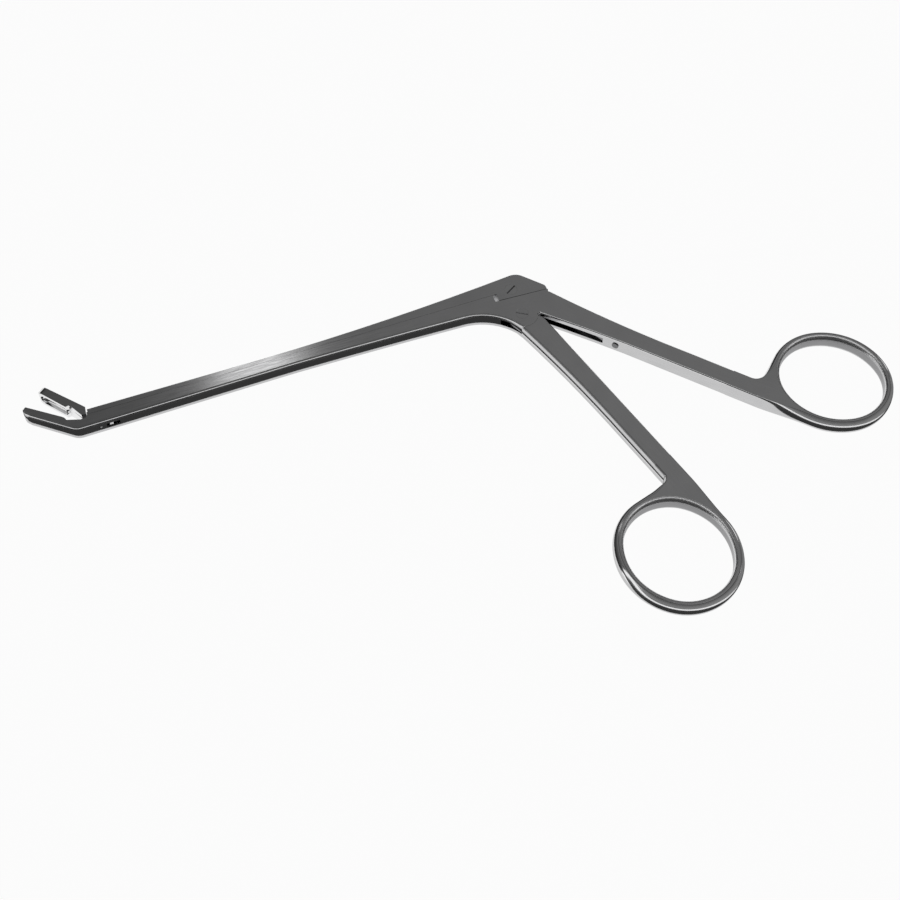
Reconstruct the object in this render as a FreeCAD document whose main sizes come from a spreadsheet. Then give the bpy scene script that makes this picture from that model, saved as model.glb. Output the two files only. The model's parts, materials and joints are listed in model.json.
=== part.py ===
import FreeCAD, Part
import os
import re
import Sketcher

# Bone rongeur lying on its flat side, in millimetres and degrees.
# The origin is on the axis of the handle screw, at the flat side that rests below.
# X runs along the shaft from the jaws to the handles, Y is the side the jaws bend to,
# and Z goes through the thickness of the instrument.

SIZES = {
    # flat stock and fits
    "thickness": 4.9,
    "slot_width": 2.0,
    "tang_gap": 0.05,
    "running_gap": 0.04,
    "seam_gap": 0.05,
    "edge_bevel": 0.4,
    # shaft
    "seam_height": 8.1,
    "shaft_base": 4.72,
    "waist_reach": 60.0,
    "waist_rise": 0.48,
    "belly_reach": 32.0,
    "belly_drop": 0.02,
    "throat_reach": 15.1,
    "throat_drop": 0.55,
    "throat_radius": 15.4,
    "heel_radius": 4.2,
    "heel_start_angle": 110.0,
    "heel_end_angle": 17.5,
    "throat_turn": 37.0,
    "step_reach": 5.2,
    "foot_front": 6.0,
    "foot_rear": 5.3,
    "body_rear": 9.2,
    # lower jaw
    "bend_reach": 117.7,
    "bend_round": 3.7,
    "jaw_angle": 38.5,
    "lower_length": 15.35,
    "lower_tip_round": 0.6,
    "rim_reach": 4.9,
    "rim_fall": 1.6,
    "lower_depth": 2.25,
    "lower_tip_depth": 1.95,
    "crotch_floor": 7.2,
    "cup_length": 7.6,
    "cup_width": 2.9,
    "cup_depth": 1.25,
    "cup_setback": 1.15,
    # slide
    "slide_front_back": 3.9,
    "slide_nose": 1.75,
    "slide_waist": 1.4,
    "slide_waist_reach": 68.0,
    "slide_hollow": 0.9,
    "slide_peak": 4.97,
    "slide_peak_reach": 3.2,
    "slide_peak_round": 4.0,
    "slide_heel": 1.4,
    "slide_heel_round": 1.5,
    "slide_rear": 9.15,
    "closing_gap": 1.05,
    # upper jaw
    "jaw_pivot_back": 6.0,
    "jaw_pivot_height": 6.3,
    "rest_opening": 14.1,
    "upper_length": 18.4,
    "upper_tip_round": 2.3,
    "upper_rim": 2.0,
    "upper_back": 0.7,
    "upper_tip_back": 0.15,
    "window_width": 3.1,
    "window_length": 8.8,
    "window_setback": 1.2,
    "jaw_arm": 2.65,
    "jaw_pin_diameter": 0.9,
    "drive_pin_diameter": 0.8,
    "jaw_tang_radius": 1.0,
    # handles
    "drive_arm": 8.25,
    "screw_diameter": 3.3,
    "shank_diameter": 2.4,
    "screw_slot_width": 0.4,
    "screw_slot_depth": 0.45,
    "rear_angle": 47.0,
    "rear_edge": 3.35,
    "front_angle": 74.5,
    "front_edge": 3.98,
    "blade_root_width": 6.55,
    "blade_width": 5.0,
    "blade_waist_reach": 44.2,
    "rear_fork_round": 2.5,
    "rear_ring_reach": 79.1,
    "rear_ring_radius": 11.35,
    "rear_ring_band": 2.4,
    "front_fork_round": 1.6,
    "front_ring_reach": 78.0,
    "front_ring_radius": 11.95,
    "front_ring_band": 2.6,
    "ring_flank_rise": 0.7,
    "ring_stretch": 1.4,
    "ring_bevel": 0.8,
    "tang_arm_radius": 2.25,
    "tang_root_width": 6.6,
    "run_out_length": 17.5,
    # guide key, hole and stud
    "key_slot_back": 7.6,
    "key_slot_length": 3.4,
    "key_play": 0.8,
    "key_length": 0.9,
    "key_head_width": 1.5,
    "key_stem_width": 0.9,
    "key_ledge": 1.5,
    "oil_hole_diameter": 0.8,
    "stud_reach": 25.2,
    "stud_diameter": 1.8,
    "stud_depth": 2.2,
    "stud_height": 0.3,
}

document = FreeCAD.newDocument("bone_rongeur")
sheet = document.addObject("Spreadsheet::Sheet", "Sizes")
for row, (alias, size) in enumerate(SIZES.items(), start=1):
    sheet.set(f"A{row}", alias.replace("_", " "))
    sheet.set(f"B{row}", str(size))
    sheet.setAlias(f"B{row}", alias)
document.recompute()


def bound(formula):
    """Put the sheet's name before each size in a formula."""
    return re.sub(r"[a-z_]+", lambda word: f"Sizes.{word[0]}" if word[0] in SIZES else word[0], formula)


def polar(base, angle, along, up):
    """Place a point from a base, along a line that rises towards the jaws, and above it."""
    cosine, sine = f"cos({angle})", f"sin({angle})"
    return (f"{base[0]} - ({along}) * {cosine} + ({up}) * {sine}",
            f"{base[1]} + ({along}) * {sine} + ({up}) * {cosine}")


def new_body(name):
    return document.addObject("PartDesign::Body", name)


def new_sketch(body, name, role="XY_Plane", shift=("0", "0", "0"), axis=(0, 0, 1), turn="0"):
    """Start a sketch on an origin plane, shifted and turned by sizes from the sheet."""
    sketch = body.newObject("Sketcher::SketchObject", name)
    plane = next(item for item in body.Origin.OriginFeatures if item.Role == role)
    sketch.AttachmentSupport = (plane, [""])
    sketch.MapMode = "FlatFace"
    sketch.AttachmentOffset = FreeCAD.Placement(FreeCAD.Vector(), FreeCAD.Rotation(FreeCAD.Vector(*axis), 1))
    for letter, amount in zip("xyz", shift):
        sketch.setExpression(f"AttachmentOffset.Base.{letter}", bound(amount))
    sketch.setExpression("AttachmentOffset.Rotation.Angle", bound(turn))
    return sketch


def pinned_point(sketch, place):
    """Add a construction point whose place is bound to the sheet."""
    index = sketch.addGeometry(Part.Point(FreeCAD.Vector(1, 1, 0)), True)
    for kind, formula in zip(("DistanceX", "DistanceY"), place):
        rule = sketch.addConstraint(Sketcher.Constraint(kind, -1, 1, index, 1, 1.0))
        sketch.setExpression(f"Constraints[{rule}]", bound(formula))
    return index


def draw_outline(sketch, route):
    """Join corners by lines, or by arcs where a third item marks a point passed on the way."""
    points = [pinned_point(sketch, place[:2]) for place in route]
    document.recompute()
    corners = [step for step, place in enumerate(route) if len(place) == 2]
    for first, last in zip(corners, corners[1:] + corners[:1]):
        start, end = points[first], points[last]
        passed = (last - first) % len(route) == 2
        here, there = sketch.getPoint(start, 1), sketch.getPoint(end, 1)
        if passed:
            middle = points[(first + 1) % len(route)]
            edge = sketch.addGeometry(Part.Arc(here, sketch.getPoint(middle, 1), there), False)
            begin, finish = sketch.getPoint(edge, 1), sketch.getPoint(edge, 2)
            if begin.distanceToPoint(here) > finish.distanceToPoint(here):
                start, end = end, start
            sketch.addConstraint(Sketcher.Constraint("PointOnObject", middle, 1, edge))
        else:
            edge = sketch.addGeometry(Part.LineSegment(here, there), False)
        sketch.addConstraint(Sketcher.Constraint("Coincident", edge, 1, start, 1))
        sketch.addConstraint(Sketcher.Constraint("Coincident", edge, 2, end, 1))
    return sketch


def draw_circle(sketch, centre, diameter):
    middle = pinned_point(sketch, centre)
    document.recompute()
    edge = sketch.addGeometry(Part.Circle(sketch.getPoint(middle, 1), FreeCAD.Vector(0, 0, 1), 1), False)
    sketch.addConstraint(Sketcher.Constraint("Coincident", edge, 3, middle, 1))
    rule = sketch.addConstraint(Sketcher.Constraint("Diameter", edge, 2.0))
    sketch.setExpression(f"Constraints[{rule}]", bound(diameter))
    return sketch


def raise_sketch(body, sketch, length, middle=False, backwards=False):
    pad = body.newObject("PartDesign::Pad", f"{sketch.Name}_pad")
    pad.Profile = sketch
    pad.setExpression("Length", bound(length))
    pad.SideType = "Symmetric" if middle else "One side"
    pad.Reversed = backwards
    document.recompute()
    return pad


def cut_sketch(body, sketch, length, middle=False, backwards=False):
    """Cut a sketch out of a body and stop if nothing was cut."""
    before = body.Shape.Volume
    pocket = body.newObject("PartDesign::Pocket", f"{sketch.Name}_pocket")
    pocket.Profile = sketch
    pocket.setExpression("Length", bound(length))
    pocket.SideType = "Symmetric" if middle else "One side"
    pocket.Reversed = backwards
    document.recompute()
    if body.Shape.Volume >= before:
        raise ValueError(f"{sketch.Name} cuts nothing")
    return pocket


def dress_edges(body, name, amount, chosen, bevel=False):
    """Round or bevel the edges of a body's last feature that a test picks."""
    base = body.Tip
    names = [f"Edge{number}" for number, edge in enumerate(base.Shape.Edges, start=1) if chosen(edge)]
    dressing = body.newObject("PartDesign::Chamfer" if bevel else "PartDesign::Fillet", name)
    dressing.Base = (base, names)
    dressing.setExpression("Size" if bevel else "Radius", bound(amount))
    document.recompute()
    return dressing


def size(alias):
    return float(sheet.get(alias))


def middle_of(edge):
    return edge.valueAt((edge.FirstParameter + edge.LastParameter) / 2)


def on_flat_side(edge):
    """Tell whether an edge lies wholly in one of the two flat sides."""
    box = edge.BoundBox
    return box.ZLength < 0.001 and min(abs(box.ZMin), abs(box.ZMax - size("thickness"))) < 0.001


def upright(edge):
    """Tell whether an edge runs straight through the thickness."""
    return isinstance(edge.Curve, Part.Line) and edge.BoundBox.ZLength > size("thickness") - 0.001


def open_towards(solid, edge, step):
    """Tell whether the wall at a flat side's edge has open air on that side of it along Y."""
    probe = middle_of(edge) + FreeCAD.Vector(0, step, 0)
    probe.z = size("thickness") / 2
    return not solid.isInside(probe, 0.001, True)


def joined(name, pieces):
    whole = document.addObject("Part::MultiFuse", name)
    whole.Shapes = pieces
    whole.Refine = True
    document.recompute()
    return whole


def cut_from(name, base, tool):
    rest = document.addObject("Part::Cut", name)
    rest.Base = base
    rest.Tool = tool
    rest.Refine = True
    document.recompute()
    return rest


def cylinder(name, centre, diameter, bottom, height):
    rod = document.addObject("Part::Cylinder", name)
    rod.setExpression("Radius", bound(f"({diameter}) / 2"))
    rod.setExpression("Height", bound(height))
    for letter, place in zip("xyz", (*centre, bottom)):
        rod.setExpression(f"Placement.Base.{letter}", bound(place))
    document.recompute()
    return rod


# Named places that more than one piece uses
BEND = ("-bend_reach", "shaft_base")
SLIDE_FRONT = "(slide_front_back - bend_reach)"
PIVOT_X = "(jaw_pivot_back - bend_reach)"
JAW_PIVOT = (PIVOT_X, "jaw_pivot_height")
JAW_DRIVE = (PIVOT_X, "jaw_pivot_height + jaw_arm")
KEY_SLOT_FRONT = "(key_slot_back - bend_reach)"
KEY_FRONT = "(key_slot_back + key_play - bend_reach)"
DRIVE = ("0", "drive_arm")
MIDDLE = ("0", "0", "thickness / 2")


def tip_trim(body, name, base, angle, along, radius):
    """Round the two corners of a jaw's end as it is seen square to its rim."""
    sketch = new_sketch(body, name, "XZ_Plane", (base[0], "0", f"-({base[1]})"), (0, 1, 0), f"-({angle})")
    bulge = f"{radius} * (1 - cos(45))"
    draw_outline(sketch, [
        (f"-({along}) - thickness", "-thickness"),
        (f"-({along}) + {radius}", "-thickness"),
        (f"-({along}) + {radius}", "0"),
        (f"-({along}) + {bulge}", bulge, "passed"),
        (f"-({along})", radius),
        (f"-({along})", f"thickness - {radius}"),
        (f"-({along}) + {bulge}", f"thickness - {bulge}", "passed"),
        (f"-({along}) + {radius}", "thickness"),
        (f"-({along}) + {radius}", "2 * thickness"),
        (f"-({along}) - thickness", "2 * thickness"),
    ])
    return cut_sketch(body, sketch, "4 * thickness", middle=True)


def stadium(sketch, first, last, width):
    """Draw a long hole between two places on the sketch's X axis."""
    middle, half = "thickness / 2", f"({width}) / 2"
    return draw_outline(sketch, [
        (f"{last} - {half}", f"{middle} + {half}"),
        (f"{first} + {half}", f"{middle} + {half}"),
        (f"{first}", middle, "passed"),
        (f"{first} + {half}", f"{middle} - {half}"),
        (f"{last} - {half}", f"{middle} - {half}"),
        (f"{last}", middle, "passed"),
    ])


def shaft_blank():
    """Shaft, lower jaw and cheeks of the joint, as one profile of flat stock."""
    body = new_body("shaft_blank")
    sketch = new_sketch(body, "shaft_outline")
    turn = "bend_round * tan(jaw_angle / 2)"
    inset = "bend_round * (1 / cos(jaw_angle / 2) - 1)"
    heel_middle = "(heel_start_angle + heel_end_angle) / 2"
    draw_outline(sketch, [
        ("-step_reach", "seam_height"),
        (f"{SLIDE_FRONT} - 0.2", "seam_height"),
        (f"{SLIDE_FRONT} - 0.8", "crotch_floor + 0.1"),
        (f"{SLIDE_FRONT} - 2.2", "crotch_floor"),
        polar(BEND, "jaw_angle", "rim_reach - 1.4", "lower_depth - 0.5"),
        polar(BEND, "jaw_angle", "rim_reach - 0.8", "lower_depth - 0.15") + ("passed",),
        polar(BEND, "jaw_angle", "rim_reach", "lower_depth"),
        polar(BEND, "jaw_angle", "lower_length - 0.5", "lower_tip_depth"),
        polar(BEND, "jaw_angle", "lower_length", "lower_tip_depth - 0.5"),
        polar(BEND, "jaw_angle", "lower_length - 0.1", "0.9"),
        polar(BEND, "jaw_angle", "lower_length - 0.9", "0.3"),
        polar(BEND, "jaw_angle", "lower_length - 2.5", "0"),
        polar(BEND, "jaw_angle", turn, "0"),
        (f"-bend_reach + {inset} * sin(jaw_angle / 2)",
         f"shaft_base + {inset} * cos(jaw_angle / 2)", "passed"),
        (f"-bend_reach + {turn}", "shaft_base"),
        ("-waist_reach", "shaft_base + waist_rise"),
        ("-belly_reach", "shaft_base - belly_drop", "passed"),
        ("-throat_reach", "shaft_base - throat_drop"),
        ("-throat_reach + throat_radius * sin(throat_turn)",
         "shaft_base - throat_drop - throat_radius * (1 - cos(throat_turn))", "passed"),
        ("heel_radius * cos(heel_start_angle)", "-heel_radius * sin(heel_start_angle)"),
        (f"heel_radius * cos({heel_middle})", f"-heel_radius * sin({heel_middle})", "passed"),
        ("heel_radius * cos(heel_end_angle)", "-heel_radius * sin(heel_end_angle)"),
        ("body_rear - 1", "1"),
        ("body_rear", "foot_rear - 2 * seam_gap"),
        ("-step_reach", "foot_front - 2 * seam_gap"),
    ])
    raise_sketch(body, sketch, "thickness")
    solid = body.Shape
    dress_edges(body, "shaft_bevel", "edge_bevel", lambda edge: (
        on_flat_side(edge) and open_towards(solid, edge, -0.02)
        and middle_of(edge).x < size("heel_radius") / 2), bevel=True)
    tip_trim(body, "lower_tip", BEND, "jaw_angle", "lower_length", "lower_tip_round")
    rim_rear = polar(BEND, "jaw_angle", "rim_reach", "lower_depth")
    cup = new_sketch(body, "lower_cup", "XZ_Plane", (rim_rear[0], "0", f"-({rim_rear[1]})"), (0, 1, 0),
                     "rim_fall - jaw_angle")
    stadium(cup, "rim_reach - lower_length + cup_setback",
            "rim_reach - lower_length + cup_setback + cup_length", "cup_width")
    cut_sketch(body, cup, "cup_depth", backwards=True)
    return body


def jaw_slot():
    """Slot in the middle of the shaft for the tang of the upper jaw."""
    body = new_body("jaw_slot")
    sketch = new_sketch(body, "jaw_slot_outline", shift=MIDDLE)
    radius = "(jaw_tang_radius + running_gap)"
    draw_outline(sketch, [
        (f"{PIVOT_X} + {radius}", "jaw_pivot_height"),
        (f"{PIVOT_X} + {radius} + 0.65", "seam_height + 1"),
        (f"{SLIDE_FRONT} - 3", "seam_height + 1"),
        (f"{SLIDE_FRONT} - 3", "crotch_floor - 0.3"),
        (f"{SLIDE_FRONT} - 2.2", f"jaw_pivot_height - {radius} + 0.35", "passed"),
        (f"{SLIDE_FRONT} - 1", f"jaw_pivot_height - {radius}"),
        (PIVOT_X, f"jaw_pivot_height - {radius}"),
        (f"{PIVOT_X} + {radius} * sin(45)", f"jaw_pivot_height - {radius} * cos(45)", "passed"),
    ])
    raise_sketch(body, sketch, "slot_width", middle=True)
    return body


def tang_slot():
    """Slot sawn through the joint for the tang of the front handle."""
    body = new_body("tang_slot")
    sketch = new_sketch(body, "tang_slot_outline", shift=MIDDLE)
    run_out = "run_out_length + heel_radius"
    end = (f"({run_out}) * cos(-rear_angle) + rear_edge * sin(rear_angle)",
           f"({run_out}) * sin(-rear_angle) + rear_edge * cos(rear_angle)")
    draw_outline(sketch, [
        ("-step_reach - 0.4", "seam_height"),
        ("-step_reach - 0.4", "-1"),
        ("-step_reach", "-2 * heel_radius"),
        (f"{end[0]} - 3", f"{end[1]} - 3"),
        (f"{end[0]} + 0.1", f"{end[1]} + 0.1"),
        ("2.3 * heel_radius", "-heel_radius / 2", "passed"),
        ("heel_radius", "seam_height"),
    ])
    raise_sketch(body, sketch, "slot_width", middle=True)
    return body


def key_slot():
    """Stepped slot in the underside of the shaft that holds the slide down by its key."""
    body = new_body("key_slot")
    for part, low, high, width in (
        ("mouth", "shaft_base - 1", "shaft_base + key_ledge + running_gap", "key_head_width + 2 * tang_gap"),
        ("throat", "shaft_base", "seam_height + 1", "key_stem_width + 2 * tang_gap"),
    ):
        sketch = new_sketch(body, f"key_slot_{part}", shift=MIDDLE)
        draw_outline(sketch, [
            (KEY_SLOT_FRONT, low),
            (f"{KEY_SLOT_FRONT} + key_slot_length", low),
            (f"{KEY_SLOT_FRONT} + key_slot_length", high),
            (KEY_SLOT_FRONT, high),
        ])
        raise_sketch(body, sketch, width, middle=True)
    return body


def oil_hole():
    """Small hole from the underside of the shaft into the slot under the jaw pin."""
    body = new_body("oil_hole")
    sketch = new_sketch(body, "oil_hole_outline", "XZ_Plane", (PIVOT_X, "0", "1 - shaft_base"))
    draw_circle(sketch, ("0", "thickness / 2"), "oil_hole_diameter")
    raise_sketch(body, sketch, "jaw_pivot_height - shaft_base", backwards=True)
    return body


def ring_oval(radius):
    """Work out a finger ring's oval: two end arcs and two flatter flanks that join smoothly."""
    shift = "(ring_flank_rise + ring_stretch)"
    between = f"(({shift}^2 + ring_flank_rise^2) / (2 * ring_flank_rise))"
    return {
        "shift": shift,
        "radius": radius,
        "between": between,
        "join_x": f"{shift} * ({between} + {radius}) / {between}",
        "join_y": f"({between} - ring_flank_rise) * {radius} / {between}",
        "half_long": f"({radius} + {shift})",
        "half_wide": f"({radius} + ring_flank_rise)",
    }


def ringed_handle(name, side, edge, angle, root):
    """Handle of flat stock, whose blade runs into its finger ring in one smooth outline."""
    body = new_body(f"{name}_blade")
    ring_reach, fork_round = f"{name}_ring_reach", f"{name}_fork_round"
    inner = ring_oval(f"{name}_ring_radius")
    outer = ring_oval(f"({name}_ring_radius + {name}_ring_band)")
    middle = outer["half_wide"]

    def place(along, width, *mark):
        return (along, f"{side} * ({edge} + {width})") + mark

    def on_ring(along, width, *mark):
        return place(f"{ring_reach} + {along}", f"{middle} + {width}", *mark)

    near_end = f"{ring_reach} - {outer['half_long']}"
    bulge = f"{fork_round} * (1 - cos(45))"
    turn = f"(acos({outer['shift']} / {outer['between']}) / 2)"
    spread = f"(asin({outer['shift']} / {outer['between']}) / 2)"
    flank = f"({outer['between']} + {outer['radius']})"
    sketch = new_sketch(body, f"{name}_blade_outline", turn=f"-{angle}")
    draw_outline(sketch, root(place) + [
        place(ring_reach, "0"),
        on_ring(f"{flank} * sin({spread})",
                f"{outer['between']} - ring_flank_rise - {flank} * cos({spread})", "passed"),
        on_ring(outer["join_x"], f"-{outer['join_y']}"),
        on_ring(outer["half_long"], "0", "passed"),
        on_ring(outer["join_x"], outer["join_y"]),
        on_ring("0", outer["half_wide"], "passed"),
        on_ring(f"-{outer['join_x']}", outer["join_y"]),
        on_ring(f"-{outer['shift']} - {outer['radius']} * cos({turn})", f"{outer['radius']} * sin({turn})",
                "passed"),
        on_ring(f"-{outer['half_long']}", "0"),
        place(near_end, f"blade_width + {fork_round}"),
        place(f"{near_end} - {bulge}", f"blade_width + {bulge}", "passed"),
        place(f"{near_end} - {fork_round}", "blade_width"),
        place("blade_waist_reach", "blade_width"),
        place("20", "blade_width + 0.42", "passed"),
    ])
    raise_sketch(body, sketch, "thickness")
    dress_edges(body, f"{name}_blade_bevel", "edge_bevel", on_flat_side, bevel=True)
    opening = new_sketch(body, f"{name}_ring_inside", turn=f"-{angle}")
    draw_outline(opening, [
        on_ring(inner["join_x"], f"-{inner['join_y']}"),
        on_ring(inner["half_long"], "0", "passed"),
        on_ring(inner["join_x"], inner["join_y"]),
        on_ring("0", inner["half_wide"], "passed"),
        on_ring(f"-{inner['join_x']}", inner["join_y"]),
        on_ring(f"-{inner['half_long']}", "0", "passed"),
        on_ring(f"-{inner['join_x']}", f"-{inner['join_y']}"),
        on_ring("0", f"-{inner['half_wide']}", "passed"),
    ])
    cut_sketch(body, opening, "3 * thickness", middle=True)
    centre = FreeCAD.Rotation(FreeCAD.Vector(0, 0, 1), -size(angle)).multVec(
        FreeCAD.Vector(size(ring_reach), opening.getPoint(1, 1).y, 0))
    reach = size(f"{name}_ring_radius") + size("ring_flank_rise") + size("ring_stretch") + 0.3
    dress_edges(body, f"{name}_ring_bevel", "ring_bevel", lambda edge: (
        on_flat_side(edge) and middle_of(edge).distanceToPoint(centre) < reach), bevel=True)
    return body


def rear_root(place):
    return [
        place("3", "blade_root_width + 0.1"),
        place("-1", "blade_root_width - 3.6"),
        place("1.2", "0.6"),
        place("3.8", "-1.1"),
        place("15.2", "-0.42", "passed"),
        place("28", "0"),
    ]


def front_root(place):
    radius = "(heel_radius + seam_gap)"
    return [
        ("3.45", "-(blade_root_width - front_edge)"),
        (radius, "0", "passed"),
        (f"{radius} * cos(51)", f"{radius} * sin(51)"),
        place("4.6", "0"),
    ]


def fixed_shaft():
    """Shaft, lower jaw and rear handle, forged in one."""
    blank = joined("shaft_forging", [
        shaft_blank(),
        ringed_handle("rear", "1", "rear_edge", "rear_angle", rear_root),
    ])
    bores = joined("shaft_cuts", [
        jaw_slot(),
        tang_slot(),
        key_slot(),
        cylinder("screw_bore", ("0", "0"), "screw_diameter", "-1", "thickness + 2"),
        cylinder("jaw_pin_bore", JAW_PIVOT, "jaw_pin_diameter", "-1", "thickness + 2"),
        edge_stud("stud_bore"),
        oil_hole(),
    ])
    return cut_from("fixed_shaft", blank, bores)


def slide():
    """Sliding half of the shaft, which carries the pull of the handle to the jaw."""
    body = new_body("slide_blank")
    sketch = new_sketch(body, "slide_outline")
    low = "seam_height + seam_gap"
    draw_outline(sketch, [
        ("-step_reach + closing_gap", low),
        (SLIDE_FRONT, low),
        (SLIDE_FRONT, "seam_height + slide_nose"),
        ("-slide_waist_reach", "seam_height + slide_waist"),
        ("-slide_waist_reach / 2", "seam_height + (slide_waist + slide_peak) / 2 - slide_hollow", "passed"),
        ("slide_peak_reach", "seam_height + slide_peak"),
        ("slide_rear", "foot_rear + slide_heel"),
        ("slide_rear", "foot_rear"),
        ("-step_reach + closing_gap", "foot_front"),
    ])
    raise_sketch(body, sketch, "thickness")
    dress_edges(body, "slide_peak_rounding", "slide_peak_round", lambda edge: (
        upright(edge) and middle_of(edge).y > size("drive_arm")
        and middle_of(edge).x > 0))
    dress_edges(body, "slide_heel_rounding", "slide_heel_round", lambda edge: (
        upright(edge) and abs(middle_of(edge).y - size("foot_rear") - size("slide_heel")) < 0.01))
    solid = body.Shape
    dress_edges(body, "slide_bevel", "0.7 * edge_bevel", lambda edge: (
        on_flat_side(edge) and open_towards(solid, edge, 0.02)), bevel=True)
    fork = new_sketch(body, "slide_fork", shift=MIDDLE)
    draw_outline(fork, [
        (f"{SLIDE_FRONT} - 1", "seam_height - 1"),
        (f"{PIVOT_X} + 1.35", "seam_height - 1"),
        (f"{PIVOT_X} + 1.35", "seam_height + slide_nose + 1"),
        (f"{SLIDE_FRONT} - 1", "seam_height + slide_nose + 1"),
    ])
    cut_sketch(body, fork, "slot_width", middle=True)
    mortise = new_sketch(body, "slide_mortise", shift=MIDDLE)
    half = "(tang_arm_radius + 0.7)"
    draw_outline(mortise, [
        (f"-{half}", "foot_rear - 1"),
        (half, "foot_rear - 1"),
        (half, "drive_arm"),
        ("0", f"drive_arm + {half}", "passed"),
        (f"-{half}", "drive_arm"),
    ])
    cut_sketch(body, mortise, "slot_width", middle=True)
    socket = new_sketch(body, "key_socket", shift=MIDDLE)
    draw_outline(socket, [
        (KEY_FRONT, "seam_height - 1"),
        (f"{KEY_FRONT} + key_length", "seam_height - 1"),
        (f"{KEY_FRONT} + key_length", "seam_height + slide_nose / 2"),
        (KEY_FRONT, "seam_height + slide_nose / 2"),
    ])
    cut_sketch(body, socket, "key_stem_width", middle=True)
    bores = joined("slide_cuts", [
        cylinder("drive_bore", DRIVE, "screw_diameter", "-1", "thickness + 2"),
        cylinder("drive_pin_bore", JAW_DRIVE, "drive_pin_diameter", "-1", "thickness + 2"),
    ])
    return cut_from("slide", body, bores)


def upper_jaw():
    """Hinged jaw with an open cup, a heel and a thin forked tang."""
    body = new_body("upper_jaw")
    base = ("0", "0")
    sketch = new_sketch(body, "jaw_outline")
    draw_outline(sketch, [
        polar(base, "jaw_angle", "4.7", "upper_back"),
        polar(base, "jaw_angle", "upper_length - 1.6", "-upper_tip_back"),
        polar(base, "jaw_angle", "upper_length - 0.15", "-upper_tip_back - 0.85") + ("passed",),
        polar(base, "jaw_angle", "upper_length - 0.9", "-upper_rim - 0.2"),
        polar(base, "jaw_angle", "8.9", "-upper_rim"),
        polar(base, "jaw_angle", "8.5", "-upper_rim + 0.75"),
        polar(base, "jaw_angle", "7.35", "-upper_rim + 0.8"),
        polar(base, "jaw_angle", "3.95", "-upper_rim + 0.3"),
        polar(base, "jaw_angle", "3.2", "-upper_rim + 1.2"),
    ])
    raise_sketch(body, sketch, "thickness")
    tip_trim(body, "upper_tip", base, "jaw_angle", "upper_length", "upper_tip_round")
    window = new_sketch(body, "jaw_window", "XZ_Plane", ("0", "0", "0"), (0, 1, 0), "-jaw_angle")
    stadium(window, "-upper_length + window_setback", "-upper_length + window_setback + window_length",
            "window_width")
    cut_sketch(body, window, "12 * upper_rim", middle=True)
    tang = new_sketch(body, "jaw_tang", shift=MIDDLE, turn="rest_opening")
    draw_outline(tang, [
        ("jaw_tang_radius", "0"),
        ("0.75 * jaw_tang_radius", "jaw_arm + 0.75"),
        ("-2.6", "jaw_arm + 0.95"),
        ("-4.4", "jaw_arm + 1.6"),
        ("-5.1", "4.5"),
        ("-3.3", "1.05"),
        ("-2.2", "-0.15"),
        ("-0.5", "-jaw_tang_radius * cos(30)"),
        ("jaw_tang_radius * sin(40)", "-jaw_tang_radius * cos(40)", "passed"),
    ])
    raise_sketch(body, tang, "slot_width - 2 * tang_gap", middle=True)
    notch = new_sketch(body, "jaw_fork", shift=MIDDLE, turn="rest_opening")
    half = "(drive_pin_diameter / 2 + running_gap)"
    draw_outline(notch, [
        (half, "jaw_arm"),
        (half, "jaw_arm + 3"),
        (f"-{half}", "jaw_arm + 3"),
        (f"-{half}", "jaw_arm"),
        ("0", f"jaw_arm - {half}", "passed"),
    ])
    cut_sketch(body, notch, "slot_width", middle=True)
    bore = draw_circle(new_sketch(body, "jaw_bore"), base, "jaw_pin_diameter + 2 * running_gap")
    cut_sketch(body, bore, "3 * thickness", middle=True)
    body.Placement = FreeCAD.Placement(FreeCAD.Vector(), FreeCAD.Rotation(FreeCAD.Vector(0, 0, 1), 1))
    body.setExpression("Placement.Base.x", bound(JAW_PIVOT[0]))
    body.setExpression("Placement.Base.y", bound(JAW_PIVOT[1]))
    body.setExpression("Placement.Rotation.Angle", bound("-rest_opening"))
    document.recompute()
    return body


def front_handle():
    """Front handle, with the tang that turns in the joint and drives the slide."""
    tang = new_body("front_tang")
    sketch = new_sketch(tang, "front_tang_outline", shift=MIDDLE)
    half = "tang_root_width / 2"
    draw_outline(sketch, [
        ("tang_arm_radius", "drive_arm"),
        ("0", "drive_arm + tang_arm_radius", "passed"),
        ("-tang_arm_radius", "drive_arm"),
        (f"-{half}", "0"),
        ("-0.9", "-heel_radius - 0.2"),
        ("0.6", "-heel_radius - 3"),
        ("4.4", "-heel_radius - 3"),
        (half, "0"),
    ])
    raise_sketch(tang, sketch, "slot_width - 2 * tang_gap", middle=True)
    eye = new_sketch(tang, "drive_eye", shift=MIDDLE)
    gap = "(shank_diameter / 2 + running_gap)"
    draw_outline(eye, [
        (gap, "drive_arm"),
        (gap, "drive_arm + 0.08"),
        ("0", f"drive_arm + 0.08 + {gap}", "passed"),
        (f"-{gap}", "drive_arm + 0.08"),
        (f"-{gap}", "drive_arm"),
        ("0", f"drive_arm - {gap}", "passed"),
    ])
    cut_sketch(tang, eye, "slot_width", middle=True)
    bore = draw_circle(new_sketch(tang, "screw_eye"), ("0", "0"), "shank_diameter + 2 * running_gap")
    cut_sketch(tang, bore, "3 * thickness", middle=True)
    return joined("front_handle", [
        tang,
        ringed_handle("front", "-1", "-front_edge", "front_angle", front_root),
    ])


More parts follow.
